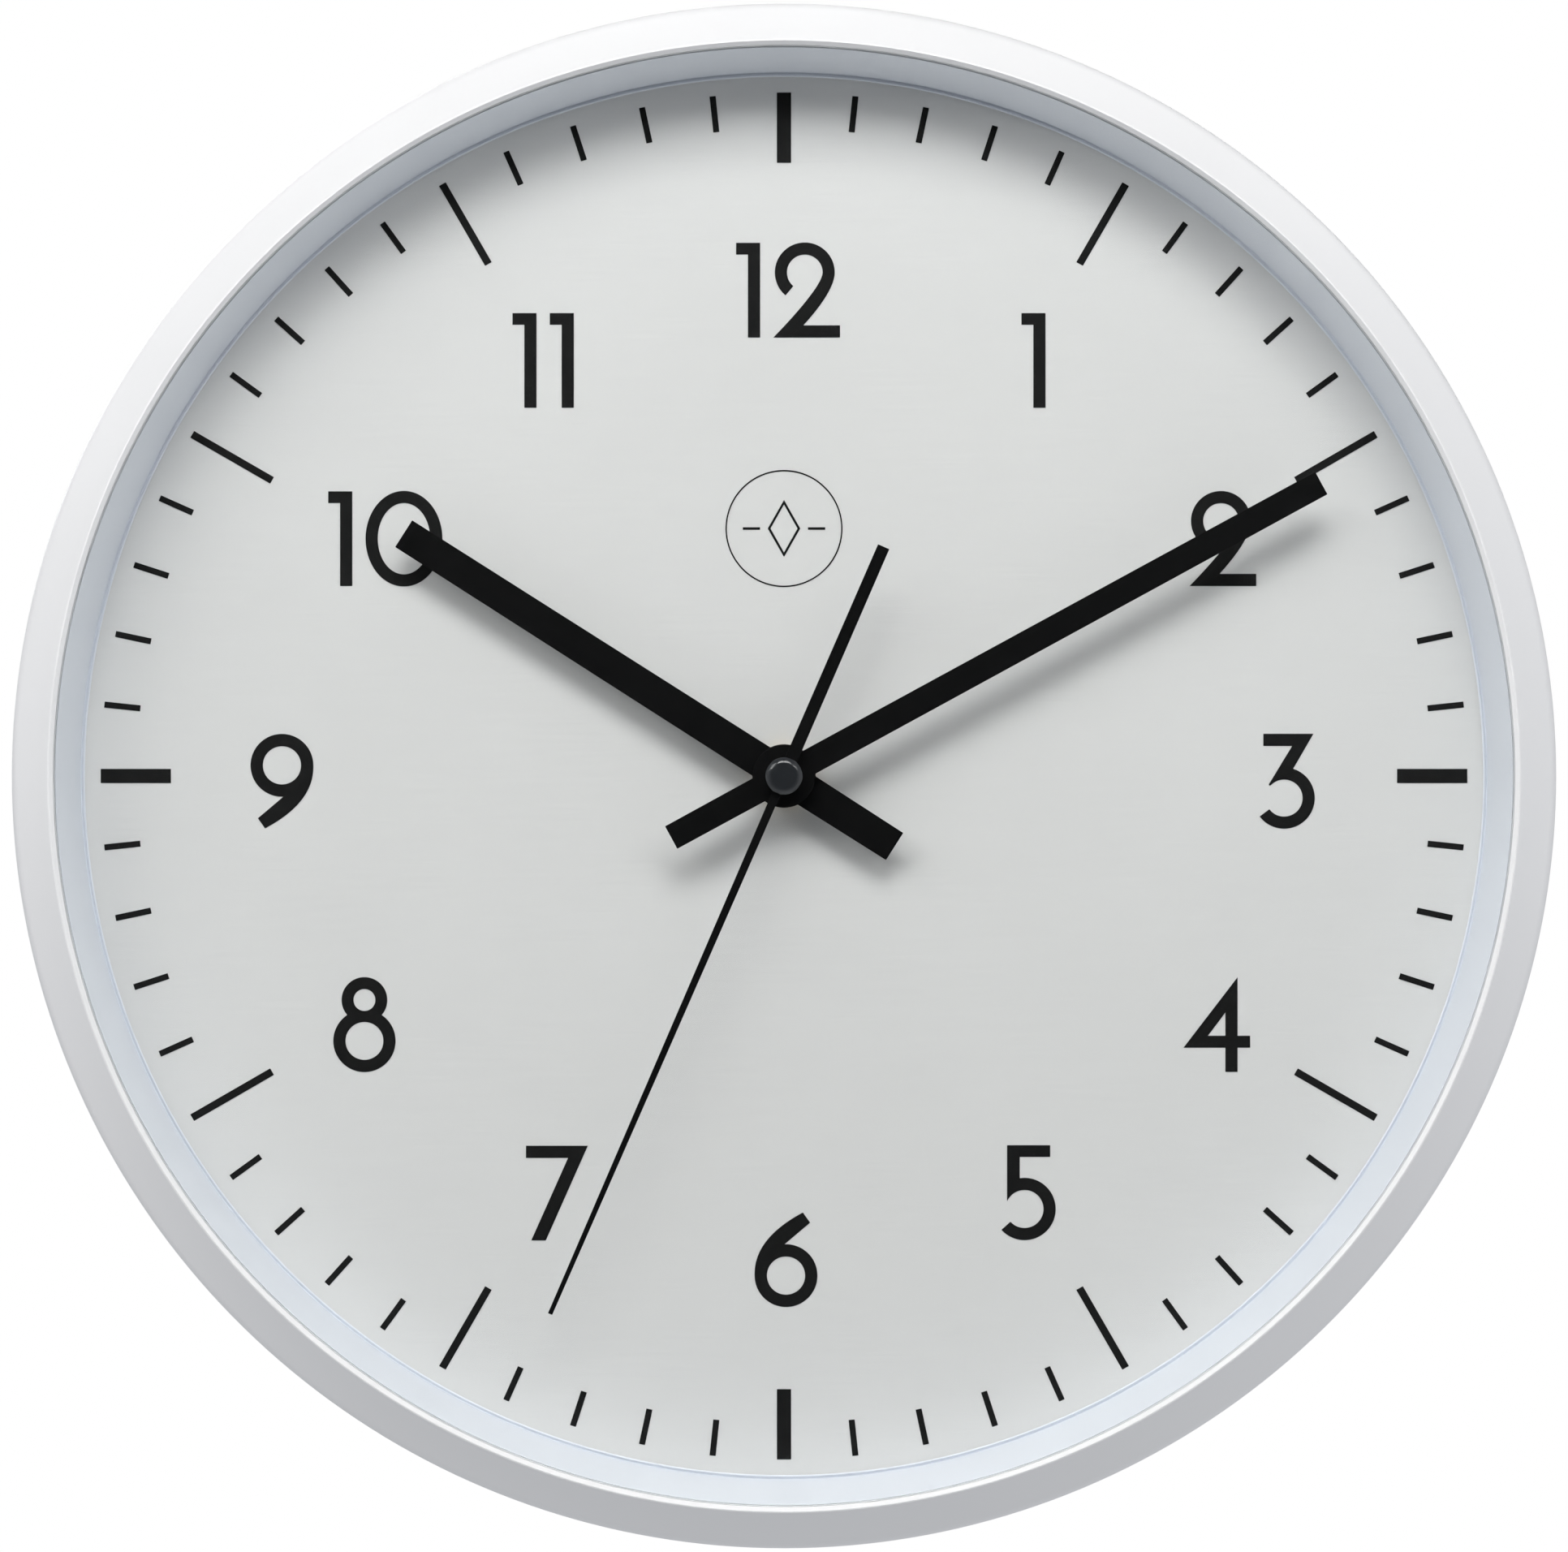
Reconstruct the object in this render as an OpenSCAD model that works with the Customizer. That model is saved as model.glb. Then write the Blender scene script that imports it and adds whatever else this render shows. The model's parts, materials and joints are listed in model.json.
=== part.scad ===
// Round wall clock: plastic case with a sloping front flank, flat glass, printed dial,
// three hands and a quartz movement with its full gear train.
// Drawn flat: X right, Y to 12 o'clock, Z from the wall to the front; stand() turns it upright.

/* [Case] */
// Outer diameter of the case
case_d = 300; // [290:1:320]
// Depth from the wall to the front crest
case_depth = 42; // [41:0.5:50]
// Width of the sloping flank, seen from the front
flank_w = 8.6; // [6:0.1:9.5]
// Height of the sloping flank
flank_h = 9; // [5:0.5:12]
// Thickness of the glass
glass_t = 2; // [1.5:0.1:3]

/* [Dial] */
// Cap height of the numerals
numeral_h = 18.6; // [16:0.1:20]
// Length of the thin hour marks
hour_mark_l = 18.1; // [12:0.1:19]
// Width of the thin hour marks
hour_mark_w = 1.5; // [1:0.1:3]
// Length of the thick marks at 12, 3, 6 and 9
quarter_mark_l = 13.8; // [10:0.1:19]
// Width of the thick marks at 12, 3, 6 and 9
quarter_mark_w = 2.8; // [1.5:0.1:4]
// Length of the minute marks
minute_mark_l = 7.1; // [4:0.1:10]
// Width of the minute marks
minute_mark_w = 1.2; // [0.6:0.1:2]

/* [Hands] */
// Hour hand, hub to tip
hour_l = 88; // [70:0.5:92]
// Minute hand, hub to tip
minute_l = 119; // [100:0.5:124]
// Second hand, hub to the thin tip
second_l = 113.8; // [90:0.5:124]
// Hour hand, degrees clockwise from 12
hour_at = 302.5; // [0:0.5:360]
// Minute hand, degrees clockwise from 12
minute_at = 61.4; // [0:0.2:360]
// Second hand, degrees clockwise from 12
second_at = 203.5; // [0:0.5:360]

/* [Hanging] */
// Radius of the keyhole entry
keyhole_r = 4.75; // [4:0.05:6]
// Width of the keyhole slot
keyhole_slot_w = 4.6; // [3.5:0.1:6]
// Height of the keyhole above the centre
keyhole_y = 105; // [90:1:112]

/* [Hidden] */
$fn = 96;
e = 0.02;                         // overlap of cuts
fit = 0.01;                       // radial gap of pressed parts
run = 0.05;                       // radial gap of turning parts

// case
case_r = case_d / 2;
wall_t = 3;
crest_r = case_r - flank_w;       // foremost circle of the case
rebate_r = crest_r - 0.8;         // glass rebate inside the crest
glass_r = rebate_r - 0.1;
glass_z = case_depth - 1 - glass_t;
inner_r = rebate_r - 0.9;
shelf_r = inner_r - 4.6;
plate_z = 18;                     // rear face of the dial plate
plate_t = 2.2;
dial_z = plate_z + plate_t;       // rear face of the dial sheet
sheet_t = 0.3;
face_z = dial_z + sheet_t;        // front face of the dial sheet
ink_t = 0.08;
plate_r = inner_r - 0.6;
mark_r = plate_r - 4.9;           // outer end of the marks
lug_r = case_r - 6.5;
lug_count = 6;
cover_z = 1.4;
cover_t = 2;
cover_r = case_r - wall_t - 0.3;
window = 60;
rib_radii = [56, 88, 128];        // stiffening rings on the rear cover
rib_w = 1.2;
rib_h = 0.6;

// movement
mv = 56;
mv_z0 = 1.5;
mv_z1 = 17.5;
split_z = 9.5;
skin = 1.2;
mark_h = 0.15;
in_w = mv - 2 * skin;
bay_lo = -26.8;
bay_hi = -12.2;
gear_lo = -11.4;
gear_hi = 26.8;
cell_y = (bay_lo + bay_hi) / 2;    // axis of the cell
mid_z = 10.4;
mid_t = 0.8;

// arbors: second arbor at the centre, the others around it
third_at = [12.24 * cos(170), 12.24 * sin(170)];
transfer_at = [13 * cos(15), 13 * sin(15)];
fifth_at = [0, 8.75];
rotor_at = fifth_at + 4.5 * [cos(80), sin(80)];

// heights of the wheels
z_fifth = 5.6;
z_second = 7.2;
z_third = 9;
z_minute = 12;
z_cannon = 13.6;
z_hour = 15;
wheel_t = 1;

// heights of the hands
z_hour_hand = 26.6;
z_minute_hand = 30;
z_second_hand = 32.4;
cap_h = 3.5;

// colours
white = [0.93, 0.935, 0.94];
ink = [0.11, 0.11, 0.11];
black = [0.05, 0.05, 0.05];
brass = [0.80, 0.66, 0.35];
steel = [0.70, 0.71, 0.73];
copper = [0.72, 0.38, 0.20];
resin = [0.86, 0.87, 0.84];
shell = [0.08, 0.08, 0.085];

// ---------- helpers ----------

// turns the flat drawing upright: 12 o'clock to +Z, front to -Y
module stand() rotate([90, 0, 0]) children();

// a point at a radius and an angle
function polar(r, a) = [r * cos(a), r * sin(a)];

// quadratic curve through three control points
function curve(p, q, s, n = 12) =
    [for (i = [0 : n]) let (t = i / n) (1 - t) * (1 - t) * p + 2 * t * (1 - t) * q + t * t * s];

function reversed(list) = [for (i = [len(list) - 1 : -1 : 0]) list[i]];

// points of an arc
function arc(centre, r, a0, a1, n = 6) =
    [for (i = [0 : n]) centre + polar(r, a0 + (a1 - a0) * i / n)];

module plate_2d(w, h, r) {
    square([w - 2 * r, h], center = true);
    square([w, h - 2 * r], center = true);
    for (x = [-1, 1], y = [-1, 1])
        translate([x * (w / 2 - r), y * (h / 2 - r)]) circle(r);
}

module tube(r, hole, z0, z1)
    translate([0, 0, z0]) difference() {
        cylinder(r = r, h = z1 - z0);
        translate([0, 0, -1]) cylinder(r = hole, h = z1 - z0 + 2);
    }

module rod(r, z0, z1)
    translate([0, 0, z0]) cylinder(r = r, h = z1 - z0);

// box from x0, y0, z0 to x1, y1, z1
module block(a, b) translate(a) cube(b - a);

// ---------- gears ----------

pressure = 22;                    // pressure angle
thin = 0.82;                      // tooth thickness over half the pitch, for backlash

function involute(a) = tan(a) * 180 / PI - a;

// half the tooth's angle at radius r
function half_tooth(r, pitch_r, teeth, slim) =
    let (base_r = pitch_r * cos(pressure))
    90 / teeth * slim + involute(pressure)
        - (r > base_r ? involute(acos(base_r / r)) : 0);

// outline of a gear with tooth 0 at angle phase
function gear_points(teeth, m, add, ded, phase, slim = thin) =
    let (pr = teeth * m / 2, base = pr * cos(pressure), root = pr - ded, tip = pr + add,
        low = max(base, root + (tip - root) * 0.2),
        radii = [root, low, (low + tip) / 2, tip])
    [for (i = [0 : teeth - 1], k = [0 : 7])
        let (r = radii[k < 4 ? k : 7 - k], side = k < 4 ? -1 : 1,
            h = half_tooth(k == 0 || k == 7 ? low : r, pr, teeth, slim))
        polar(r, phase + i * 360 / teeth + side * h)];

// phase of a second gear so that it meshes with the first, which lies at dir from it
function mesh_phase(dir, phase1, z1, z2) =
    dir + 180 + (180 - (phase1 - dir) * z1) / z2;

module gear(teeth, m, add, ded, phase, z0, t)
    translate([0, 0, z0]) linear_extrude(t)
        polygon(gear_points(teeth, m, add, ded, phase));

// wheel with round lightening holes
module spoked_gear(teeth, m, add, ded, phase, z0, t, holes, hole_r, at_r)
    difference() {
        gear(teeth, m, add, ded, phase, z0, t);
        for (i = [0 : holes - 1])
            translate(concat(polar(at_r, i * 360 / holes + 20), [z0 - 1]))
                cylinder(r = hole_r, h = t + 2);
    }

// phases at rest
fifth_phase = 0;                  // pinion on the fifth wheel
second_wheel_phase = mesh_phase(270, fifth_phase, 10, 60);
rotor_phase = mesh_phase(80, 0, 30, 6);
third_wheel_phase = mesh_phase(170, 0, 8, 60);
minute_wheel_phase = mesh_phase(350, 0, 8, 64);
transfer_phase = mesh_phase(15, 0, 12, 36);
hour_wheel_phase = mesh_phase(195, 0, 10, 40);

// ---------- case ----------

module case_ring() color(white) stand() {
    z = case_depth;
    bend = z - flank_h;
    rotate_extrude($fn = 180) polygon(concat(
        [[case_r, 0]],
        curve([case_r, bend - 2.2], [case_r, bend], [case_r - 1.8, bend + 1.88], 6),
        curve([crest_r + 0.45, z - 0.4], [crest_r + 0.2, z], [crest_r - 0.1, z], 4),
        [[rebate_r, z - 0.9], [rebate_r, glass_z - 1], [inner_r, glass_z - 1],
        [inner_r, plate_z], [shelf_r, plate_z], [shelf_r, plate_z - 3],
        [inner_r + 2.2, plate_z - 3], [inner_r + 2.2, bend - 2],
        [case_r - wall_t, bend - 3], [case_r - wall_t, 0]]));
    for (i = [0 : lug_count - 1])
        rotate([0, 0, 30 + i * 60]) translate([lug_r, 0, 0]) difference() {
            rod(4, cover_z + cover_t, plate_z - 2.5);
            rod(1.25 + fit, cover_z + cover_t - 1, 12.5);
            translate([case_r - wall_t / 2 - lug_r, -5, 0]) cube([6, 10, plate_z]);
        }
}

module glass_lens() color([0.85, 0.92, 0.95, 0.3]) stand()
    rod(glass_r, glass_z, glass_z + glass_t);

module spacer_ring() color([0.86, 0.89, 0.95]) stand()
    rotate_extrude($fn = 180) polygon([
        [glass_r, glass_z - 1 + fit], [glass_r, glass_z - fit], [inner_r - 0.6, glass_z - fit],
        [inner_r - 1.6, face_z + 1.5], [inner_r - 1.6, face_z + 0.6], [inner_r - 2.1, face_z + 0.6],
        [inner_r - 2.1, face_z + 1], [inner_r - 2.5, face_z + 1], [inner_r - 2.5, face_z],
        [inner_r - 0.4, face_z], [inner_r - 0.1, glass_z - 1 + fit]]);

// raised border around the keyhole
module keyhole_rim()
    translate([0, 0, cover_z - rib_h]) linear_extrude(rib_h + e) difference() {
        translate([0, keyhole_y + 4.5]) plate_2d(16, 25, 7.9);
        translate([0, keyhole_y + 4.5]) plate_2d(14, 23, 6.9);
    }

module rear_cover() color([0.90, 0.90, 0.90]) stand()
    difference() {
        union() {
            rod(cover_r, cover_z, cover_z + cover_t);
            translate([0, 0, cover_z]) linear_extrude(6) difference() {
                plate_2d(window + 5, window + 5, 4);
                plate_2d(window, window, 2);
            }
            for (r = rib_radii) tube(r + rib_w / 2, r - rib_w / 2, cover_z - rib_h, cover_z + e);
            for (a = [0 : 30 : 330]) if (a != 90) rotate([0, 0, a])
                block([rib_radii[0], -rib_w / 2, cover_z - rib_h],
                    [rib_radii[2], rib_w / 2, cover_z + e]);
            keyhole_rim();
        }
        translate([0, 0, cover_z - 1]) linear_extrude(9) plate_2d(window, window, 2);
        for (i = [0 : lug_count - 1])
            rotate([0, 0, 30 + i * 60]) translate([lug_r, 0, 0]) rod(1.6, 0, 6);
        translate([0, keyhole_y, 0]) rod(keyhole_r, 0, 6);
        block([-keyhole_slot_w / 2, keyhole_y, 0], [keyhole_slot_w / 2, keyhole_y + 9, 6]);
        translate([0, keyhole_y + 9, 0]) rod(keyhole_slot_w / 2, 0, 6);
    }

module cover_screws() color(steel) stand()
    for (i = [0 : lug_count - 1])
        rotate([0, 0, 30 + i * 60]) translate([lug_r, 0, 0]) {
            difference() {
                rod(2.8, 0.1, cover_z);
                block([-1.7, -0.3, -1], [1.7, 0.3, 0.7]);
                block([-0.3, -1.7, -1], [0.3, 1.7, 0.7]);
            }
            rod(1.25, cover_z - e, 12);
        }

// ---------- dial ----------

module dial_plate() color(resin) stand()
    difference() {
        rod(plate_r, plate_z, plate_z + plate_t);
        rod(4.2, 0, 40);
    }

module dial_sheet() color([0.86, 0.87, 0.86]) stand()
    difference() {
        rod(plate_r, dial_z, face_z);
        rod(4.2, 0, 40);
    }

module hour_marks() color(ink) stand()
    for (h = [0 : 11]) rotate([0, 0, -30 * h])
        translate([0, 0, face_z]) linear_extrude(ink_t)
            if (h % 3 == 0)
                translate([-quarter_mark_w / 2, mark_r - quarter_mark_l])
                    square([quarter_mark_w, quarter_mark_l]);
            else
                translate([-hour_mark_w / 2, mark_r - hour_mark_l])
                    square([hour_mark_w, hour_mark_l]);

module minute_marks() color(ink) stand()
    for (m = [0 : 59]) if (m % 5 != 0) rotate([0, 0, -6 * m])
        translate([-minute_mark_w / 2, mark_r - minute_mark_l, face_z])
            cube([minute_mark_w, minute_mark_l, ink_t]);

// ring cut to the angles a0 to a1, anticlockwise
module ring_part(r, hole, a0, a1)
    intersection() {
        difference() {
            circle(r);
            circle(hole);
        }
        polygon(concat([[0, 0]], arc([0, 0], 2 * r, a0, a1, 12)));
    }

one_w = 4.73;
stem = 2.4;
half_h = 9.3;

module digit_1() {
    translate([one_w / 2 - stem, -half_h]) square([stem, 2 * half_h]);
    translate([-one_w / 2, half_h - 2.3]) square([one_w, 2.3]);
}

module digit_2() {
    base = -half_h;
    translate([-0.38, 3.48]) ring_part(5.9, 3.5, -1, 230);
    polygon(concat(
        curve([5.52, 3.48], [5.5, -0.1], [-0.63, base + stem]),
        [[6.55, base + stem], [6.55, base]],
        reversed(curve([3.12, 3.48], [3.05, 0.7], [-6.55, base]))));
}

module digit_3() {
    top = half_h;
    difference() {
        translate([-0.58, -3.33]) ring_part(6.03, 3.63, -143, 139);
        polygon([[-8, 7], [1, top - stem], [-3.65, -0.74], [-8, -0.74]]);
    }
    polygon([[-4.66, top], [5.19, top], [1.22, 2.45], [-0.5, 0.9], [-3.65, -0.74],
        [1, top - stem], [-4.66, top - stem]]);
}

module digit_4() {
    difference() {
        polygon([[-6.54, -4.55], [4.08, half_h], [4.08, -4.55]]);
        polygon([[-1.73, -2.2], [1.68, 2.35], [1.68, -2.2]]);
    }
    translate([1.68, -half_h]) square([stem, 8]);
    translate([0, -4.55]) square([6.54, 2.35]);
}

module digit_5() {
    difference() {
        translate([-0.86, -3.22]) ring_part(6.13, 3.73, -138, 154.7);
        translate([-10.29, -1.61]) square([6, 6]);
    }
    translate([-4.29, half_h - 2.3]) square([8.47, 2.3]);
    difference() {
        translate([-4.29, -1.61]) square([2.5, half_h + 1.61]);
        translate([-0.86, -3.22]) circle(3.73);
    }
}

module digit_6() {
    translate([0, -3.1]) difference() {
        circle(6.18);
        circle(3.75);
    }
    difference() {
        polygon(concat(curve([-6.18, -2.9], [-6.3, 4.2], [3.31, half_h]),
            [[4.74, 7.3], [-0.28, 3.05], [-2, -2.9]]));
        translate([0, -3.1]) circle(5);
    }
}

module digit_7()
    polygon([[-6.08, half_h], [6.08, half_h], [-2.18, -half_h], [-5.04, -half_h],
        [2.18, half_h - stem], [-6.08, half_h - stem]]);

module digit_8()
    difference() {
        union() {
            translate([0, -3.22]) circle(6.13);
            translate([0, 4.82]) circle(4.5);
        }
        translate([0, -3.22]) circle(3.72);
        translate([0, 4.82]) circle(2.15);
    }

module digit_9() rotate(180) digit_6();

module digit_0()
    difference() {
        polygon([for (a = [0 : 5 : 355]) [7.55 * cos(a), (half_h + 0.1) * sin(a)]]);
        polygon([for (a = [0 : 5 : 355]) [5.15 * cos(a), (half_h - 2.3) * sin(a)]]);
    }

module numeral(n) {
    gap = 2.6;
    if (n == 1) digit_1();
    if (n == 2) digit_2();
    if (n == 3) digit_3();
    if (n == 4) digit_4();
    if (n == 5) digit_5();
    if (n == 6) digit_6();
    if (n == 7) digit_7();
    if (n == 8) digit_8();
    if (n == 9) digit_9();
    if (n == 10) {
        translate([-(gap + 15.1) / 2, 0]) digit_1();
        translate([(one_w + gap) / 2, 0]) digit_0();
    }
    if (n == 11)
        for (s = [-1, 1]) translate([s * (one_w + gap) / 2, 0]) digit_1();
    if (n == 12) {
        translate([-(gap + 13.1) / 2, 0]) digit_1();
        translate([(one_w + gap) / 2, 0]) digit_2();
    }
}

// optical centres of the numerals 1 to 12
numeral_at = [[49, 81.6], [86.2, 46.6], [98.8, -1], [85, -48.8], [48.1, -81.8], [0.4, -95],
    [-44.6, -81.9], [-82.4, -48.8], [-98.6, -1], [-78.3, 46.6], [-47.3, 81.6], [0.8, 95.4]];

module hour_numerals() color(ink) stand()
    for (n = [1 : 12])
        translate([numeral_at[n - 1][0], numeral_at[n - 1][1], face_z])
            linear_extrude(ink_t) scale(numeral_h / 18.6) numeral(n);

// small ornament above the centre: a thin ring around a diamond between two short bars
module dial_emblem() color(ink) stand()
    translate([0, 48.6, face_z]) linear_extrude(ink_t) {
        difference() {
            circle(11.5);
            circle(11.22);
        }
        difference() {
            polygon([[0, 5.6], [3.2, 0], [0, -5.6], [-3.2, 0]]);
            polygon([[0, 4.7], [2.65, 0], [0, -4.7], [-2.65, 0]]);
        }
        for (s = [-1, 1]) translate([s * 6.4, 0]) square([3.4, 0.5], center = true);
    }

// ---------- fixing of the movement ----------

module threaded_bush() color(brass) stand() {
    tube(4, 2.5 + run, mv_z1 - 1, 23.6);
    tube(6.4, 3.9, mv_z1, mv_z1 + 0.45);
}

module rubber_washer() color(black) stand()
    tube(11, 6.7, mv_z1, plate_z);

module brass_washer() color(brass) stand()
    tube(5.7, 4.1, face_z, face_z + 0.4);

module hex_nut() color(brass) stand()
    difference() {
        translate([0, 0, face_z + 0.4]) cylinder(r = 5 / cos(30), h = 2.2, $fn = 6);
        rod(4 + fit, 0, 40);
    }

// ---------- movement shell ----------

module movement_front_plate() color(shell) stand()
    difference() {
        translate([0, 0, split_z]) linear_extrude(mv_z1 - split_z) plate_2d(mv, mv, 3);
        block([-in_w / 2, gear_lo, split_z - 1], [in_w / 2, gear_hi, mv_z1 - 1]);
        block([-in_w / 2, bay_lo, split_z - 1], [in_w / 2, bay_hi, mv_z1 - 1]);
        rod(4 + fit, 0, 40);
        translate(third_at) rod(0.6 + run, mv_z1 - 2, mv_z1 - 0.3);
        translate(transfer_at) rod(0.6 + run, mv_z1 - 2, mv_z1 - 0.3);
    }

module movement_middle_plate() color(resin) stand()
    difference() {
        block([-in_w / 2 + 0.2, gear_lo + 0.2, mid_z], [in_w / 2 - 0.2, gear_hi - 0.2, mid_z + mid_t]);
        rod(0.5 + run, 0, 40);
        translate(third_at) rod(2.3, 0, 40);
        translate(transfer_at) rod(1.5, 0, 40);
        translate(fifth_at) rod(0.5 + run, 0, 40);
        translate(rotor_at) rod(0.3 + run, 0, 40);
        for (x = [-24.5, 24.5], y = [-8, 24]) translate([x, y, 0]) rod(0.8 + fit, 0, 40);
    }

module bearing(at, r, hole, z1, z_hole)
    translate(at) difference() {
        rod(r, mv_z0 + skin - e, z1);
        rod(hole, z_hole, z1 + 1);
    }

// raised signs: the cell's poles, and arrows for turning the knob both ways
module shell_marks() {
    for (x = [-21, 21]) translate([x, -9]) square([3.4, 0.8], center = true);
    translate([21, -9]) square([0.8, 3.4], center = true);
    translate(transfer_at) for (s = [0, 1]) mirror([0, s]) {
        ring_part(8.1, 7.4, 30, 145);
        translate(polar(7.75, 30)) rotate(-60) polygon([[-1.5, 0], [1.5, 0], [0, 2.4]]);
    }
}

module movement_rear_case() color(shell) stand() {
    floor_z = mv_z0 + skin;
    difference() {
        union() {
            difference() {
                translate([0, 0, mv_z0]) linear_extrude(split_z - mv_z0) plate_2d(mv, mv, 3);
                block([-in_w / 2, gear_lo, floor_z], [in_w / 2, gear_hi, split_z + 1]);
                block([-in_w / 2, bay_lo, 0], [in_w / 2, bay_hi, split_z + 1]);
            }
            translate(transfer_at) rod(6.2, mv_z0, 5.2);
        }
        translate(transfer_at) rod(5, 0, 4);
        translate(transfer_at) rod(0.9 + run, 0, 6);
        for (x = [-in_w / 2, in_w / 2 - 0.7])
            block([x, bay_hi - 1, floor_z], [x + 0.7, gear_lo + 1, 6.5]);
    }
    bearing([0, 0], 1.5, 0.5 + run, 6, 3.2);
    bearing(third_at, 2, 0.6 + run, 6.5, 3.2);
    bearing(fifth_at, 1.2, 0.5 + run, 3.8, 2.9);
    bearing(rotor_at, 1.2, 0.3 + run, 3.4, 2.9);
    for (x = [-24.5, 24.5], y = [-8, 24]) translate([x, y, 0]) {
        rod(1.5, floor_z - e, mid_z);
        rod(0.8, mid_z - e, mid_z + mid_t);
    }
    for (x = [-6.75, 20.75]) translate([x, 22.5, 0]) difference() {
        rod(1.6, floor_z - e, 4);
        rod(0.7 + fit, 3, 5);
    }
    for (p = [[-21, 7], [-12, 23]]) translate(p) {
        rod(1.2, floor_z - e, 3.2);
        rod(0.6, 3.2 - e, 4.3);
    }
    translate([0, 0, mv_z0 - mark_h]) linear_extrude(mark_h + e) shell_marks();
}

// ---------- hour, minute and second hands with their wheels ----------

module hour_wheel() color(resin) stand() {
    difference() {
        spoked_gear(40, 0.52, 0.28, 0.6, hour_wheel_phase, z_hour, wheel_t, 6, 2, 6.4);
        rod(1.8, 0, 40);
    }
    tube(2.5, 1.75 + run, z_hour - 0.2, z_hour_hand + 0.6);
}

// hand blank: tip width, hub width and tail width along +Y
module hand_2d(length, tail, w_tip, w_hub, w_tail)
    polygon([[w_hub / 2, 0], [w_tip / 2, length], [-w_tip / 2, length], [-w_hub / 2, 0],
        [-w_tail / 2, -tail], [w_tail / 2, -tail]]);

module hour_hand() color(black) stand() rotate([0, 0, -hour_at]) {
    difference() {
        translate([0, 0, z_hour_hand]) linear_extrude(0.4) union() {
            hand_2d(hour_l, 25.6, 6.2, 6.6, 6.3);
            circle(6.2);
        }
        rod(2.5 + fit, 0, 40);
    }
    tube(3.4, 2.5 + fit, z_hour_hand - 1.8, z_hour_hand + e);
}

module cannon_pinion() color(brass) stand() {
    difference() {
        gear(12, 13 / 24, 0.4, 0.62, 0, z_cannon, wheel_t);
        rod(1.6, 0, 40);
    }
    tube(1.75, 0.5 + run, 11.6, z_minute_hand + 0.7);
}

module minute_wheel() color(resin) stand() {
    difference() {
        spoked_gear(64, 0.34, 0.26, 0.42, minute_wheel_phase, z_minute, wheel_t, 6, 2.3, 6.5);
        rod(1.75 + fit, 0, 40);
    }
    tube(3, 1.75 + fit, z_minute - 0.3, z_minute + e);
}

module minute_hand() color(black) stand() rotate([0, 0, -minute_at]) {
    difference() {
        translate([0, 0, z_minute_hand]) linear_extrude(0.4) union() {
            hand_2d(minute_l, 25, 5, 5.1, 5);
            circle(6.05);
        }
        rod(1.75 + fit, 0, 40);
    }
    tube(2.7, 1.75 + fit, z_minute_hand - 1.8, z_minute_hand + e);
}

module second_wheel() color(resin) stand()
    difference() {
        union() {
            spoked_gear(60, 0.25, 0.19, 0.31, second_wheel_phase, z_second, wheel_t, 5, 1.5, 4.6);
            rod(1.2, z_second - 0.8, z_third + e);
            gear(8, 0.36, 0.28, 0.42, 0, z_third, wheel_t);
        }
        rod(0.5 + fit, 0, 40);
    }

module second_arbor() color(steel) stand()
    rod(0.5, 3.4, z_second_hand + 0.4);

module second_hand() color(black) stand() rotate([0, 0, -second_at])
    difference() {
        translate([0, 0, z_second_hand]) linear_extrude(0.3) union() {
            polygon([[0.85, 0], [0.45, second_l], [-0.45, second_l], [-0.85, 0]]);
            polygon([[1.25, 0], [-1.25, 0], [-1.2, -48.5], [1.2, -48.5]]);
            circle(2.6);
        }
        rod(1 + fit, 0, 40);
    }

module second_hand_tube() color(brass) stand()
    tube(1, 0.5 + fit, z_second_hand - 1, z_second_hand + 0.8);

module second_hand_cap() color([0.04, 0.04, 0.04]) stand()
    difference() {
        intersection() {
            rod(3.6, z_second_hand + 0.3, z_second_hand + 0.3 + cap_h);
            translate([0, 0, z_second_hand - 3.7]) sphere(r = 6);
        }
        rod(1 + fit, 20, z_second_hand + 0.9);
    }

// ---------- going train ----------

module third_wheel() color(resin) stand() translate(third_at) {
    difference() {
        union() {
            spoked_gear(60, 0.36, 0.2, 0.42, third_wheel_phase, z_third, wheel_t, 6, 2.4, 6.4);
            rod(1.2, z_third - 1.5, z_minute + e);
            gear(8, 0.34, 0.28, 0.4, 0, z_minute, wheel_t);
        }
        rod(0.6 + fit, 0, 40);
    }
}

module third_arbor() color(steel) stand() translate(third_at)
    rod(0.6, 3.4, mv_z1 - 0.4);

module transfer_wheel() color(resin) stand() translate(transfer_at)
    difference() {
        union() {
            spoked_gear(36, 13 / 24, 0.26, 0.6, transfer_phase, z_cannon, wheel_t, 6, 2.1, 6.2);
            rod(1.6, z_cannon - 1.4, z_hour + e);
            gear(10, 0.52, 0.38, 0.6, 0, z_hour, wheel_t);
        }
        rod(0.9 + fit, 0, 15.6);
        rod(0.6 + fit, 0, 40);
    }

module transfer_arbor() color(steel) stand() translate(transfer_at) {
    rod(0.9, 1.6, 15.5);
    rod(0.6, 15.5 - e, mv_z1 - 0.4);
}

module setting_knob() color(resin) stand() translate(transfer_at)
    difference() {
        union() {
            translate([0, 0, 0.6]) linear_extrude(1.8)
                polygon([for (i = [0 : 71]) polar(i % 2 == 0 ? 4.2 : 3.95, i * 5)]);
            rod(2, 2.4 - e, 3.8);
        }
        rod(0.9 + fit, 1.2, 5);
    }

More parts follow.
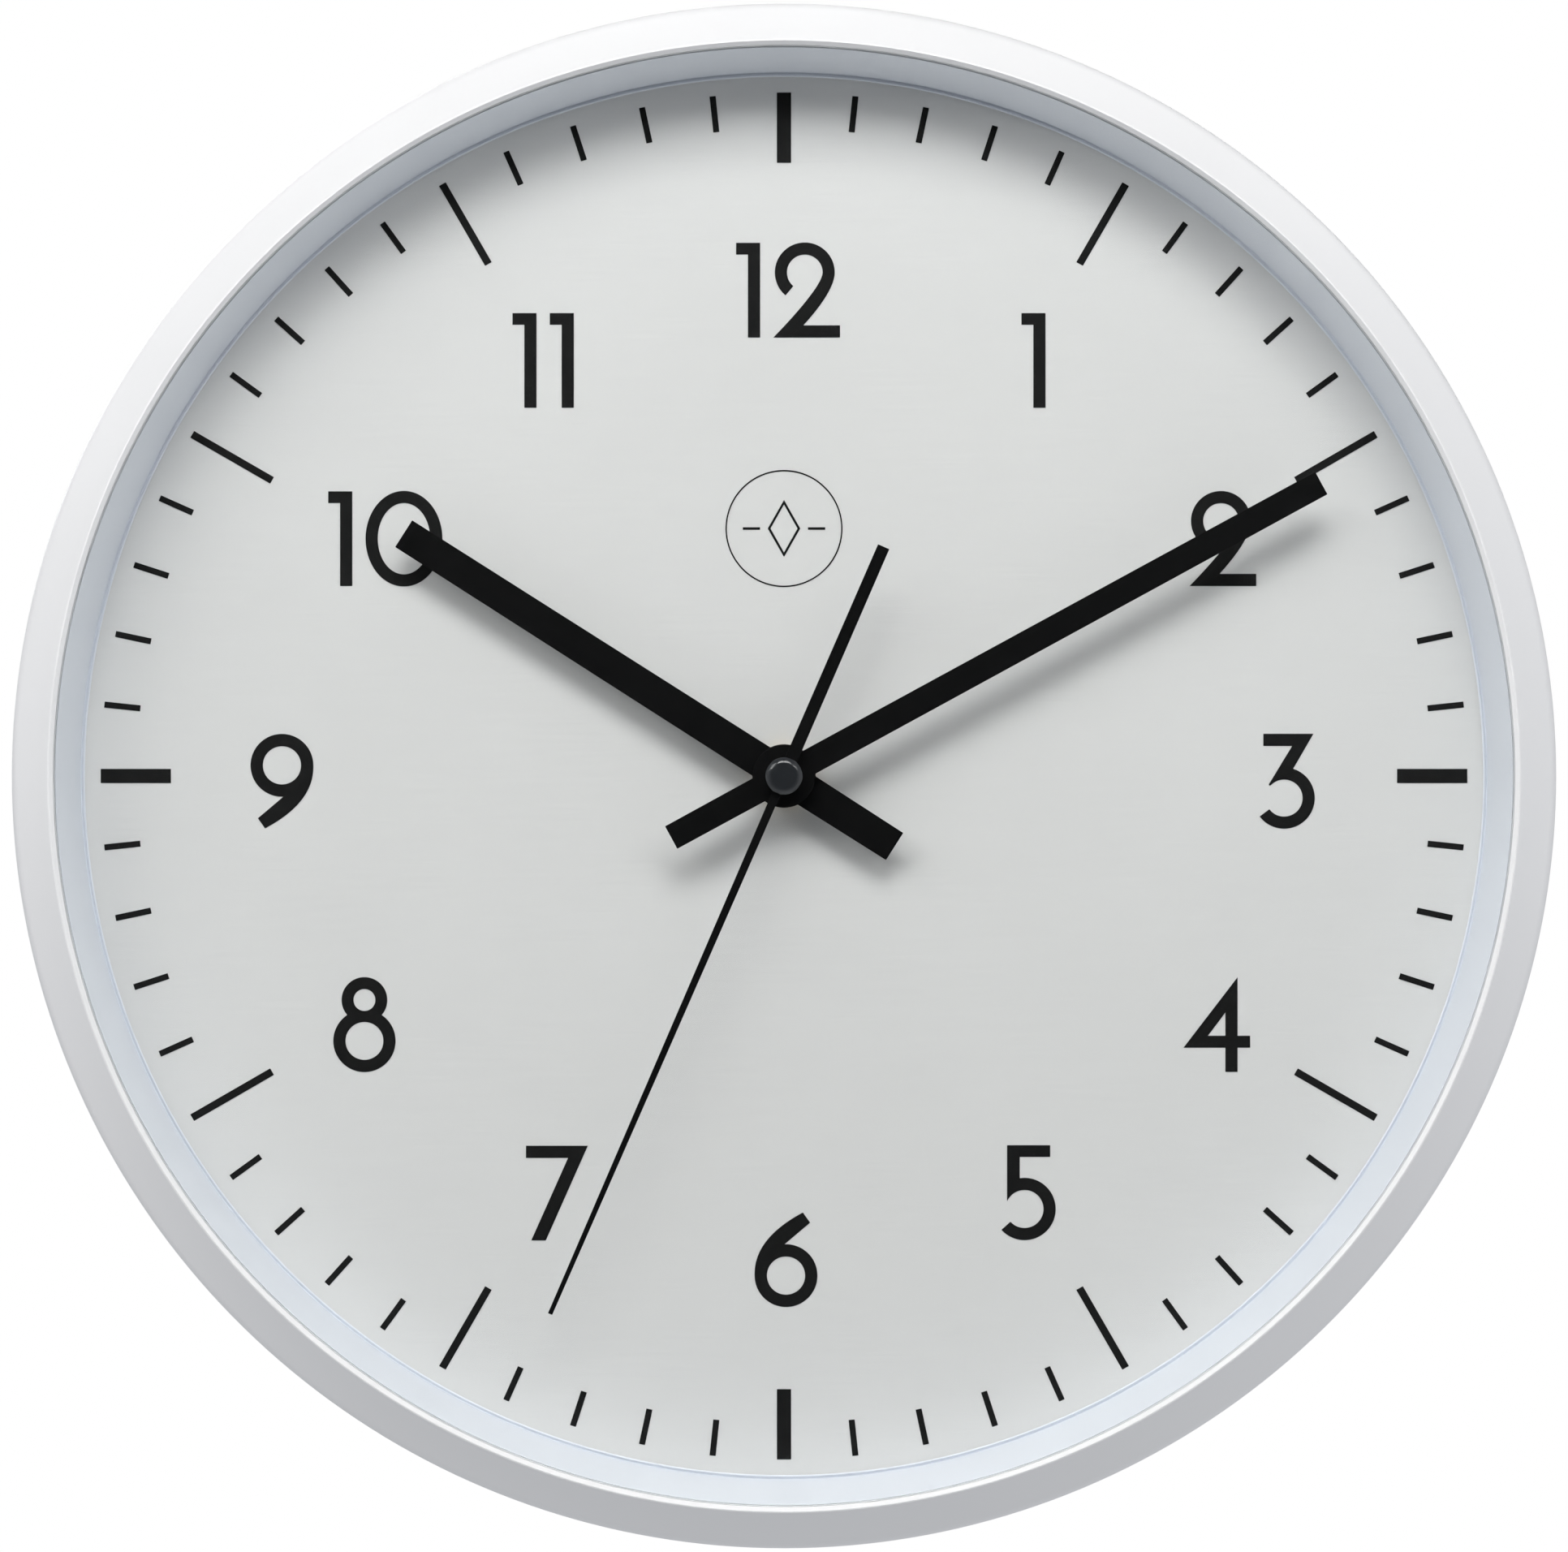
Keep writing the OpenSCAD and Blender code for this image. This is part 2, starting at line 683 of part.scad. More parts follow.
module fifth_wheel() color(resin) stand() translate(fifth_at)
    difference() {
        union() {
            gear(30, 0.25, 0.19, 0.31, 0, z_fifth, wheel_t);
            rod(1, z_fifth - 1, z_second + e);
            gear(10, 0.25, 0.21, 0.3, fifth_phase, z_second, wheel_t);
        }
        rod(0.5 + fit, 0, 40);
    }

module fifth_arbor() color(steel) stand() translate(fifth_at)
    rod(0.5, 3.1, 11);

module rotor_pinion() color(resin) stand() translate(rotor_at) {
    gear(6, 0.25, 0.2, 0.3, rotor_phase, z_fifth, wheel_t);
    rod(0.3, 3.1, 11);
}

// ---------- motor and electronics ----------

module rotor_magnet() color([0.30, 0.30, 0.32]) stand() translate(rotor_at)
    tube(2, 0.3 + fit, 3.6, 5.2);

module stator() color(steel) stand()
    difference() {
        union() {
            block([-8.5, 10.2, 4], [22.5, 16.2, 4.8]);
            block([-8.5, 16, 4], [-5, 25, 4.8]);
            block([19, 16, 4], [22.5, 25, 4.8]);
        }
        translate(rotor_at) rod(2.5, 0, 10);
        for (x = [-6.75, 20.75]) translate([x, 22.5, 0]) rod(0.9, 0, 10);
    }

module coil_core() color(steel) stand()
    difference() {
        union() {
            block([-8.5, 21.7, 4.8], [22.5, 23.3, 5.6]);
            for (x = [-6.75, 20.75]) translate([x, 22.5, 0]) rod(1.6, 4.8, 5.6);
        }
        for (x = [-6.75, 20.75]) translate([x, 22.5, 0]) rod(0.9, 0, 10);
    }

// along +X at the height of the core
module on_coil() translate([0, 22.5, 5.2]) rotate([0, 90, 0]) children();

module coil_bobbin() color([0.15, 0.35, 0.25]) stand()
    difference() {
        on_coil() {
            rod(1.4, -4.2, 18.2);
            rod(2.45, -4.2, -3.4);
            rod(2.45, 17.4, 18.2);
        }
        block([-10, 21.69, 4.79], [30, 23.31, 5.61]);
    }

module coil_winding() color(copper) stand()
    on_coil() tube(2.2, 1.4 + fit, -3.4, 17.4);

module motor_screws() color(steel) stand()
    for (x = [-6.75, 20.75]) translate([x, 22.5, 0]) {
        rod(0.7, 3.2, 5.6 + e);
        difference() {
            rod(1.5, 5.6, 6.5);
            block([-2, -0.2, 6.1], [2, 0.2, 7]);
        }
    }

module circuit_board() color([0.13, 0.33, 0.22]) stand()
    difference() {
        block([-22.6, 5, 3.2], [-10.2, 25, 4]);
        for (p = [[-21, 7], [-12, 23]]) translate(p) rod(0.7, 0, 10);
    }

module quartz_crystal() color(steel) stand()
    translate([-19.5, 13, 5.05]) rotate([-90, 0, 0]) {
        cylinder(r = 1, h = 6);
        translate([0, 0, -0.4]) cylinder(r = 0.8, h = 0.5);
    }

module chip_cover() color(black) stand()
    translate([-14, 14.5, 4]) intersection() {
        translate([0, 0, -2.4]) sphere(r = 3.6);
        translate([-5, -5, 0]) cube(10);
    }

module battery_contact_positive() color(steel) stand() {
    block([26.3, -25, 3.2], [26.6, -13.4, 15]);
    block([26.3, -14, 3.2], [26.6, -9.9, 6.2]);
    block([-16.3, -10.2, 3.2], [26.6, -9.9, 6.2]);
    block([-16.3, -10.2, 4.2], [-16, 6.5, 6.2]);
    block([-16.3, 5.3, 4], [-14.6, 7, 4.3]);
}

module battery_contact_negative() color(steel) stand() {
    block([-26.6, -25, 3.2], [-26.3, -13.4, 15]);
    block([-26.6, -14, 3.2], [-26.3, 8.2, 6.2]);
    block([-26.6, 6.4, 4], [-21.8, 8.2, 4.3]);
    translate([0, 0, 6]) linear_extrude(6)
        polygon(concat(
            curve([-26.32, cell_y - 5.2], [-22.4, cell_y], [-26.32, cell_y + 5.2]),
            reversed(curve([-26.32, cell_y - 4.7], [-22.9, cell_y], [-26.32, cell_y + 4.7]))));
}

module aa_battery() color([0.20, 0.45, 0.75]) stand()
    translate([0, cell_y, 9.05]) rotate([0, 90, 0]) {
        rod(7, -24, 24.9);
        rod(2.7, 24.9 - e, 26.25);
        rod(5.6, -24.22, -24 + e);
    }

// ---------- output ----------

case_ring();
glass_lens();
spacer_ring();
dial_sheet();
hour_numerals();
hour_marks();
minute_marks();
dial_emblem();
dial_plate();
rear_cover();
cover_screws();
movement_front_plate();
movement_middle_plate();
movement_rear_case();
threaded_bush();
rubber_washer();
brass_washer();
hex_nut();
hour_wheel();
hour_hand();
cannon_pinion();
minute_wheel();
minute_hand();
second_wheel();
second_arbor();
second_hand();
second_hand_tube();
second_hand_cap();
third_wheel();
third_arbor();
transfer_wheel();
transfer_arbor();
setting_knob();
fifth_wheel();
fifth_arbor();
rotor_pinion();
rotor_magnet();
stator();
coil_core();
coil_bobbin();
coil_winding();
motor_screws();
circuit_board();
quartz_crystal();
chip_cover();
battery_contact_positive();
battery_contact_negative();
aa_battery();
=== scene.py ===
import json
import math

import bmesh
import bpy
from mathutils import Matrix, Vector


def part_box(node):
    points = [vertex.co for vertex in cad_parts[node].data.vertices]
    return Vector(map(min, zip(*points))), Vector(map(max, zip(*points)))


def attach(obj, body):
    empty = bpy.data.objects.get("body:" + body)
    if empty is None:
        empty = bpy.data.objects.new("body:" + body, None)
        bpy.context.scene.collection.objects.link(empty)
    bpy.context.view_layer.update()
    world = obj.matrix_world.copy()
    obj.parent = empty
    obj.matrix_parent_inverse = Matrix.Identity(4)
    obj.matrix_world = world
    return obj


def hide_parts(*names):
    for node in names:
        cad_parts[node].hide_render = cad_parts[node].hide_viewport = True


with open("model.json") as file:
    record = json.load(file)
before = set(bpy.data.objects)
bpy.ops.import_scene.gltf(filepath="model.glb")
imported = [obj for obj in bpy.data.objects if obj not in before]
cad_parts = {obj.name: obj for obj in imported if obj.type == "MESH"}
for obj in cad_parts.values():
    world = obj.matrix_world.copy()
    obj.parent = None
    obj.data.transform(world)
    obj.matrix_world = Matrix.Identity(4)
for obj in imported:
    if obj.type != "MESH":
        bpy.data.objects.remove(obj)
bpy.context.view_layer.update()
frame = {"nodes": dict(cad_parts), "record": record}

MM = 0.001
NODES = frame["nodes"]
RECORD = frame["record"]
SLOT_OF = {s["node"]: s["material_slot"] for s in RECORD["subparts"]}
BODY_OF = {n: b for b, names in RECORD["behaviour"]["bodies"].items() for n in names}


# ---------- camera ----------

VIEW_DISTANCE = 1.0
FOCAL_LENGTH = 114.5

camera = bpy.data.objects.new("camera", bpy.data.cameras.new("camera"))
bpy.context.scene.collection.objects.link(camera)
camera.location = (0, -VIEW_DISTANCE, 0)
camera.rotation_euler = (math.radians(90), 0, 0)
camera.data.sensor_width = 36
camera.data.lens = FOCAL_LENGTH
camera.data.clip_start = 0.01
camera.data.clip_end = 100
bpy.context.scene.camera = camera
bpy.context.scene.view_settings.view_transform = "Standard"


# ---------- node helpers ----------

def feed(tree, socket, value):
    """Links another node's output to a socket, or sets the socket's own value."""
    if isinstance(value, bpy.types.NodeSocket):
        tree.links.new(value, socket)
    else:
        socket.default_value = value


def add(tree, kind, inputs=None, **props):
    """A node with its properties set and its inputs linked or filled."""
    n = tree.nodes.new("ShaderNode" + kind)
    for key, value in props.items():
        setattr(n, key, value)
    for key, value in (inputs or {}).items():
        feed(tree, n.inputs[key], value)
    return n


def calc(tree, operation, a, b=0.0, c=0.0):
    return add(tree, "Math", {0: a, 1: b, 2: c}, operation=operation).outputs[0]


def ramp(tree, value, low, high, out_low=0.0, out_high=1.0):
    n = add(tree, "MapRange", {"Value": value, "From Min": low, "From Max": high,
                               "To Min": out_low, "To Max": out_high})
    return n.outputs["Result"]


def blend_colors(tree, factor, a, b, kind="MIX"):
    """Mixes two colours; a factor or colour may be a value or another node's output."""
    n = add(tree, "Mix", {0: factor}, data_type="RGBA", blend_type=kind)
    color_a, color_b, color_out = n.inputs[6], n.inputs[7], n.outputs[2]
    feed(tree, color_a, a)
    feed(tree, color_b, b)
    return color_out


def spread(tree, tone, out_low=0.0, out_high=1.0):
    """Stretches the middle of a noise value, where nearly all of it lies, over a range."""
    return ramp(tree, tone, 0.3, 0.7, out_low, out_high)


def stretched(tree, position, scale):
    """A position with each axis scaled."""
    return add(tree, "Mapping", {"Vector": position, "Scale": scale}).outputs["Vector"]


def noise(tree, position, size, detail=2.0, rough=0.5):
    """Noise with features of about the given size in metres, 0 to 1."""
    n = add(tree, "TexNoise", {"Vector": position, "Scale": 1 / size, "Detail": detail,
                               "Roughness": rough})
    return n.outputs["Fac"]


def rgba(c, gain=1.0):
    """A colour with its alpha, made brighter or darker by the gain."""
    return (c[0] * gain, c[1] * gain, c[2] * gain, 1.0)


def start(name):
    """A new material with an empty node tree, and the object's own coordinates."""
    material = bpy.data.materials.new(name)
    material.use_nodes = True
    tree = material.node_tree
    tree.nodes.clear()
    position = add(tree, "TexCoord").outputs["Object"]
    return material, tree, position


def close(tree, shader):
    add(tree, "OutputMaterial", {"Surface": shader})


def surface(name, color, rough, metal=0.0, vary=0.03, rough_vary=0.06, patch=0.02,
            grain=0.0004, grain_depth=0.000008, wave=0.0, wave_depth=0.0, stretch=(1, 1, 1),
            speck=0.0, coat=0.0, specular=0.5, color_hook=None, metal_hook=None,
            height_hook=None):
    """A procedural finish. Broad patches vary the colour, a fine grain gives the tooth.

    color, rough: base values; vary, rough_vary: how far they move; patch: size of the
    patches; grain, grain_depth: size and height of the tooth; wave, wave_depth: size and
    height of the broad unevenness; stretch: scale of the grain per axis; speck: strength
    of fine darker specks; the hooks add a printed colour, bare metal or a relief.
    """
    material, tree, position = start(name)
    drawn = stretched(tree, position, stretch) if stretch != (1, 1, 1) else position
    patches = noise(tree, position, patch, 3.0)
    fine = noise(tree, drawn, grain, 3.0, 0.6)
    tone = calc(tree, "ADD", calc(tree, "MULTIPLY", patches, 0.6),
                calc(tree, "MULTIPLY", fine, 0.4))
    printed = color_hook(tree, position) if color_hook else None
    shade = blend_colors(tree, spread(tree, tone), rgba(color, 1 - vary),
                         rgba(color, 1 + vary))
    if printed is not None:
        shade = blend_colors(tree, 1.0, printed, shade, "MULTIPLY")
    if speck:
        dots = ramp(tree, noise(tree, position, grain * 1.7, 1.0), 0.68, 0.74, 0.0, speck)
        shade = blend_colors(tree, dots, shade, rgba(color, 0.55))
    gloss = spread(tree, tone, max(0.02, rough - rough_vary), min(1.0, rough + rough_vary))
    bump = add(tree, "Bump", {"Height": fine, "Distance": grain_depth, "Strength": 1.0})
    if wave:
        broad = noise(tree, position, wave, 1.0)
        bump = add(tree, "Bump", {"Height": broad, "Distance": wave_depth, "Strength": 1.0,
                                  "Normal": bump.outputs["Normal"]})
    if height_hook:
        height, depth = height_hook(tree, position)
        bump = add(tree, "Bump", {"Height": height, "Distance": depth, "Strength": 1.0,
                                  "Normal": bump.outputs["Normal"]})
    shader = add(tree, "BsdfPrincipled", {"Base Color": shade, "Roughness": gloss,
                                          "Normal": bump.outputs["Normal"]})
    shader.inputs["Specular IOR Level"].default_value = specular
    shader.inputs["Coat Weight"].default_value = coat
    shader.inputs["Coat Roughness"].default_value = 0.08
    if metal_hook:
        tree.links.new(metal_hook(tree, position), shader.inputs["Metallic"])
    else:
        shader.inputs["Metallic"].default_value = metal
    close(tree, shader.outputs["BSDF"])
    return material


def axis_value(tree, position, axis):
    """One coordinate of a position."""
    return add(tree, "SeparateXYZ", {"Vector": position}).outputs[axis]


def ripple(tree, value, pitch):
    """A wave that repeats every pitch metres."""
    return calc(tree, "SINE", calc(tree, "MULTIPLY", value, 2 * math.pi / pitch))


def ridges(pitch, depth, axis="X"):
    """Fine parallel ridges across one axis, such as turns of wire or stacked sheet."""
    def hook(tree, position):
        return ripple(tree, axis_value(tree, position, axis), pitch), depth
    return hook


def turned(depth, pitch=0.00012):
    """Lathe marks: rings about the dial's axis."""
    def hook(tree, position):
        flat = stretched(tree, position, (1, 0, 1))
        radius = add(tree, "VectorMath", {0: flat}, operation="LENGTH").outputs["Value"]
        return ripple(tree, radius, pitch), depth
    return hook


def weave(pitch, depth):
    """Woven glass cloth under the lacquer."""
    def hook(tree, position):
        across = ripple(tree, axis_value(tree, position, "X"), pitch)
        up = ripple(tree, axis_value(tree, position, "Z"), pitch)
        return calc(tree, "MULTIPLY", across, up), depth
    return hook


# ---------- materials ----------

def lens_glass():
    """Clear glass that reflects a little head on and more at a slant."""
    material, tree, position = start("lens_glass")
    broad = noise(tree, position, 0.05, 1.0)
    bump = add(tree, "Bump", {"Height": broad, "Distance": 0.00002, "Strength": 1.0})
    film = ramp(tree, noise(tree, position, 0.03, 4.0), 0.3, 0.8, 0.0, 0.03)
    mirror = add(tree, "BsdfAnisotropic", {"Color": (1, 1, 1, 1), "Roughness": film,
                                           "Normal": bump.outputs["Normal"]})
    clear = add(tree, "BsdfTransparent", {"Color": (0.992, 0.996, 0.994, 1)})
    head_on = 0.022
    slant = add(tree, "LayerWeight", {"Blend": 0.5}).outputs["Facing"]
    shine = ramp(tree, calc(tree, "POWER", slant, 5.0), 0.0, 1.0, head_on, 1.0)
    mixed = add(tree, "MixShader", {0: shine, 1: clear.outputs[0], 2: mirror.outputs[0]})
    close(tree, mixed.outputs[0])
    return material


def dial_paper():
    """Satin print with a fine grain that runs from side to side."""
    material, tree, position = start("dial_paper")
    lines = noise(tree, stretched(tree, position, (0.045, 1, 1)), 0.00045, 3.0, 0.7)
    specks = noise(tree, position, 0.0006, 2.0)
    cloud = noise(tree, position, 0.06, 2.0)
    tone = calc(tree, "ADD", calc(tree, "MULTIPLY", lines, 0.5),
                calc(tree, "ADD", calc(tree, "MULTIPLY", specks, 0.2),
                     calc(tree, "MULTIPLY", cloud, 0.3)))
    shade = blend_colors(tree, spread(tree, tone), (0.735, 0.733, 0.722, 1),
                         (0.785, 0.783, 0.772, 1))
    bump = add(tree, "Bump", {"Height": lines, "Distance": 0.000003, "Strength": 1.0})
    shader = add(tree, "BsdfPrincipled", {
        "Base Color": shade, "Roughness": spread(tree, tone, 0.34, 0.42),
        "Normal": bump.outputs["Normal"]})
    shader.inputs["Specular IOR Level"].default_value = 1.0
    close(tree, shader.outputs["BSDF"])
    return material


def battery_bands(tree, position):
    """Wrapped cell: dark sleeve, light band and bare metal at both ends."""
    left_end, right_end = -0.0255, 0.0275
    along = ramp(tree, axis_value(tree, position, "X"), left_end, right_end)
    stops = add(tree, "ValToRGB", {"Fac": along})
    table = stops.color_ramp
    table.interpolation = "CONSTANT"
    steel = (0.62, 0.62, 0.60, 1)
    sleeve = (0.035, 0.085, 0.17, 1)
    band = (0.72, 0.73, 0.74, 1)
    marks = [(0.0, steel), (0.045, sleeve), (0.62, band), (0.64, sleeve), (0.66, band),
             (0.925, sleeve), (0.94, steel)]
    while len(table.elements) < len(marks):
        table.elements.new(0.5)
    for element, (at, color) in zip(table.elements, marks):
        element.position = at
        element.color = color
    return stops.outputs["Color"]


def battery_metal(tree, position):
    """Bare metal beyond both ends of the cell's sleeve."""
    sleeve_left, sleeve_right = -0.0231, 0.0243
    x = axis_value(tree, position, "X")
    return calc(tree, "ADD", calc(tree, "LESS_THAN", x, sleeve_left),
                calc(tree, "GREATER_THAN", x, sleeve_right))


def shell_print(tree, position):
    """Black shell whose raised marks are inked white on top."""
    shell_face, mark_top = -0.00144, -0.00140
    raised = ramp(tree, axis_value(tree, position, "Y"), shell_face, mark_top)
    shell = (0.018, 0.018, 0.019, 1)
    ink = (0.62, 0.62, 0.60, 1)
    return blend_colors(tree, raised, shell, ink)


FINISHES = {
    "case_plastic": dict(color=(0.825, 0.825, 0.828), rough=0.5, vary=0.012, grain=0.00035,
                         grain_depth=0.000006, patch=0.03, wave=0.02, wave_depth=0.00003,
                         specular=0.35),
    "liner_plastic": dict(color=(0.785, 0.815, 0.87), rough=0.45, vary=0.012, grain=0.00035,
                          grain_depth=0.000006, patch=0.03, wave=0.02, wave_depth=0.00003),
    "dial_ink": dict(color=(0.0085, 0.0085, 0.0085), rough=0.5, vary=0.15, patch=0.004,
                     grain=0.0003, grain_depth=0.000003, specular=0.12),
    "backing_plastic": dict(color=(0.70, 0.71, 0.66), rough=0.5, vary=0.04, grain=0.0006,
                            grain_depth=0.00001, speck=0.1),
    "cover_plastic": dict(color=(0.74, 0.74, 0.73), rough=0.5, vary=0.025, grain=0.0005,
                          grain_depth=0.00002, patch=0.04, wave=0.03, wave_depth=0.00008,
                          speck=0.08),
    "screw_steel": dict(color=(0.62, 0.62, 0.60), rough=0.3, metal=1.0, vary=0.1,
                        rough_vary=0.1, patch=0.002, grain=0.0002, grain_depth=0.000004),
    "movement_plastic": dict(color=(0.86, 0.86, 0.86), rough=0.42, vary=0.14, grain=0.00035,
                             grain_depth=0.000016, patch=0.01, wave=0.012, wave_depth=0.00003,
                             color_hook=shell_print),
    "wheel_plastic": dict(color=(0.76, 0.77, 0.71), rough=0.36, vary=0.03, patch=0.004,
                          grain=0.0002, grain_depth=0.000003),
    "brass_parts": dict(color=(0.76, 0.55, 0.24), rough=0.26, metal=1.0, vary=0.08, patch=0.003,
                        grain=0.0002, grain_depth=0.000002, height_hook=turned(0.0000012)),
    "washer_rubber": dict(color=(0.012, 0.012, 0.012), rough=0.8, vary=0.2, patch=0.003,
                          grain=0.0002, grain_depth=0.00001, specular=0.3),
    "hand_paint": dict(color=(0.0026, 0.0026, 0.0028), rough=0.46, vary=0.2, patch=0.006,
                       grain=0.00025, grain_depth=0.000005, specular=0.1),
    "arbor_steel": dict(color=(0.55, 0.55, 0.56), rough=0.2, metal=1.0, vary=0.06, patch=0.002,
                        grain=0.0001, grain_depth=0.000001, stretch=(1, 8, 1)),
    "cap_plastic": dict(color=(0.022, 0.024, 0.027), rough=0.15, vary=0.1, patch=0.002,
                        grain=0.0002, grain_depth=0.0000015, rough_vary=0.04, coat=0.1),
    "knob_plastic": dict(color=(0.60, 0.60, 0.57), rough=0.4, vary=0.03, patch=0.003,
                         grain=0.0003, grain_depth=0.000006),
    "magnet": dict(color=(0.09, 0.09, 0.10), rough=0.45, metal=0.6, vary=0.2, patch=0.001,
                   grain=0.0001, grain_depth=0.000004, speck=0.3),
    "lamination_steel": dict(color=(0.34, 0.35, 0.37), rough=0.35, metal=1.0, vary=0.1,
                             patch=0.004, grain=0.0002, grain_depth=0.000002,
                             stretch=(0.1, 1, 1), height_hook=ridges(0.0004, 0.00001, "Y")),
    "bobbin_plastic": dict(color=(0.02, 0.10, 0.05), rough=0.4, vary=0.08, patch=0.003,
                           grain=0.0002, grain_depth=0.000004),
    "coil_copper": dict(color=(0.62, 0.20, 0.07), rough=0.3, metal=0.9, vary=0.12, patch=0.002,
                        grain=0.0002, grain_depth=0.000003,
                        height_hook=ridges(0.00018, 0.00004)),
    "board_laminate": dict(color=(0.015, 0.09, 0.035), rough=0.35, vary=0.1, patch=0.003,
                           grain=0.0003, grain_depth=0.000004, coat=0.3,
                           height_hook=weave(0.0006, 0.000006)),
    "can_steel": dict(color=(0.66, 0.67, 0.68), rough=0.16, metal=1.0, vary=0.05, patch=0.002,
                      grain=0.00015, grain_depth=0.000001, stretch=(1, 1, 0.1)),
    "chip_resin": dict(color=(0.008, 0.008, 0.008), rough=0.3, vary=0.2, patch=0.001,
                       grain=0.0002, grain_depth=0.000006),
    "contact_steel": dict(color=(0.66, 0.65, 0.61), rough=0.22, metal=1.0, vary=0.08,
                          patch=0.004, grain=0.0002, grain_depth=0.000002,
                          stretch=(1, 1, 0.08)),
    "battery_label": dict(color=(0.95, 0.95, 0.95), rough=0.24, vary=0.04, patch=0.006,
                          grain=0.0003, grain_depth=0.000002, rough_vary=0.05, coat=0.3,
                          color_hook=battery_bands, metal_hook=battery_metal,
                          stretch=(0.1, 1, 1)),
}

MATERIALS = {name: surface(name, **finish) for name, finish in FINISHES.items()}
MATERIALS["lens_glass"] = lens_glass()
MATERIALS["dial_paper"] = dial_paper()

for name, node in NODES.items():
    material = MATERIALS[SLOT_OF[name]]
    if node.data.materials:
        for i in range(len(node.data.materials)):
            node.data.materials[i] = material
    else:
        node.data.materials.append(material)


# ---------- shape helpers ----------

SHARP_ANGLE = 32
BEVEL_ANGLE = 30
FLAT_ANGLE = 0.4
ON_AXIS = 1e-6

# steps round a full turn
LARGE_TURN = 300
LENS_TURN = 240
KNOB_TURN = 192
SMALL_TURN = 96
BOSS_TURN = 32


def to_object(name, bm):
    """An object from a bmesh, smooth where its faces meet at a low angle."""
    bmesh.ops.remove_doubles(bm, verts=bm.verts, dist=1e-7)
    bmesh.ops.recalc_face_normals(bm, faces=bm.faces)
    mesh = bpy.data.meshes.new(name)
    bm.to_mesh(mesh)
    bm.free()
    mesh.polygons.foreach_set("use_smooth", [True] * len(mesh.polygons))
    mesh.set_sharp_from_angle(angle=math.radians(SHARP_ANGLE))
    obj = bpy.data.objects.new(name, mesh)
    bpy.context.scene.collection.objects.link(obj)
    return obj


def fillet(points, steps=4):
    """Rounds the corners of a closed outline; each point is (x, y, corner radius)."""
    out = []
    count = len(points)
    for i, (x, y, radius) in enumerate(points):
        here = Vector((x, y))
        if not radius:
            out.append(here)
            continue
        back = Vector(points[i - 1][:2]) - here
        ahead = Vector(points[(i + 1) % count][:2]) - here
        half = back.angle(ahead) / 2
        cut = min(radius / math.tan(half), 0.49 * back.length, 0.49 * ahead.length)
        back.normalize()
        ahead.normalize()
        centre = here + (back + ahead).normalized() * (cut / math.cos(half))
        first = here + back * cut - centre
        last = here + ahead * cut - centre
        for k in range(steps + 1):
            t = k / steps
            out.append(centre + first.lerp(last, t).normalized() * first.length)
    return out


def turn(bm, outline, steps, place):
    """Turns an outline about an axis. Each of its points starts with its radius, and
    place(point, angle) says where it goes. Segments that end on the axis give triangles."""
    rings = []
    for k in range(steps):
        angle = 2 * math.pi * k / steps
        rings.append([bm.verts.new(place(point, angle)) for point in outline])
    for k, one in enumerate(rings):
        two = rings[(k + 1) % steps]
        for i in range(len(outline)):
            j = (i + 1) % len(outline)
            starts, ends = outline[i][0] < ON_AXIS, outline[j][0] < ON_AXIS
            if starts and ends:
                continue
            quad = [one[i], one[j], two[j], two[i]]
            if starts:
                quad.pop(3)
            elif ends:
                quad.pop(2)
            bm.faces.new(quad)


def lathe_into(bm, profile, steps, centre=(0, 0)):
    """Turns an outline of (radius, height) in mm about an axis along Y."""
    def place(point, angle):
        r, h = point
        return ((centre[0] + r * math.cos(angle)) * MM, -h * MM,
                (centre[1] + r * math.sin(angle)) * MM)
    turn(bm, profile, steps, place)


def lathe(name, profile, steps):
    bm = bmesh.new()
    lathe_into(bm, profile, steps)
    return to_object(name, bm)


def refined(name, node, width, segments):
    """The node's own shape with its flat faces cleaned and its edges rounded."""
    source = NODES[node].data
    bm = bmesh.new()
    verts = [bm.verts.new(v.co) for v in source.vertices]
    for p in source.polygons:
        try:
            bm.faces.new([verts[i] for i in p.vertices])
        except ValueError:
            continue  # the same face is there already
    bmesh.ops.remove_doubles(bm, verts=bm.verts, dist=2e-7)
    bmesh.ops.dissolve_degenerate(bm, dist=1e-7, edges=bm.edges)
    bmesh.ops.dissolve_limit(bm, angle_limit=math.radians(FLAT_ANGLE), verts=bm.verts,
                             edges=bm.edges)
    obj = to_object(name, bm)
    edge = obj.modifiers.new("edge", "BEVEL")
    edge.width = width * MM
    edge.segments = segments
    edge.limit_method = "ANGLE"
    edge.angle_limit = math.radians(BEVEL_ANGLE)
    edge.harden_normals = True
    edge.use_clamp_overlap = True
    return obj


def stands_for(node, obj):
    """Puts a piece in the place of a CAD node, with that node's slot and body."""
    slot = SLOT_OF[node]
    obj.data.materials.clear()
    obj.data.materials.append(MATERIALS[slot])
    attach(obj, BODY_OF[node])
    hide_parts(node)


def curve(p, q, s, n=10):
    """Quadratic curve through three control points."""
    out = []
    for i in range(n + 1):
        t = i / n
        out.append(tuple((1 - t) ** 2 * a + 2 * t * (1 - t) * b + t * t * c
                         for a, b, c in zip(p, q, s)))
    return out


# ---------- sizes in mm; heights are measured forward from the wall ----------

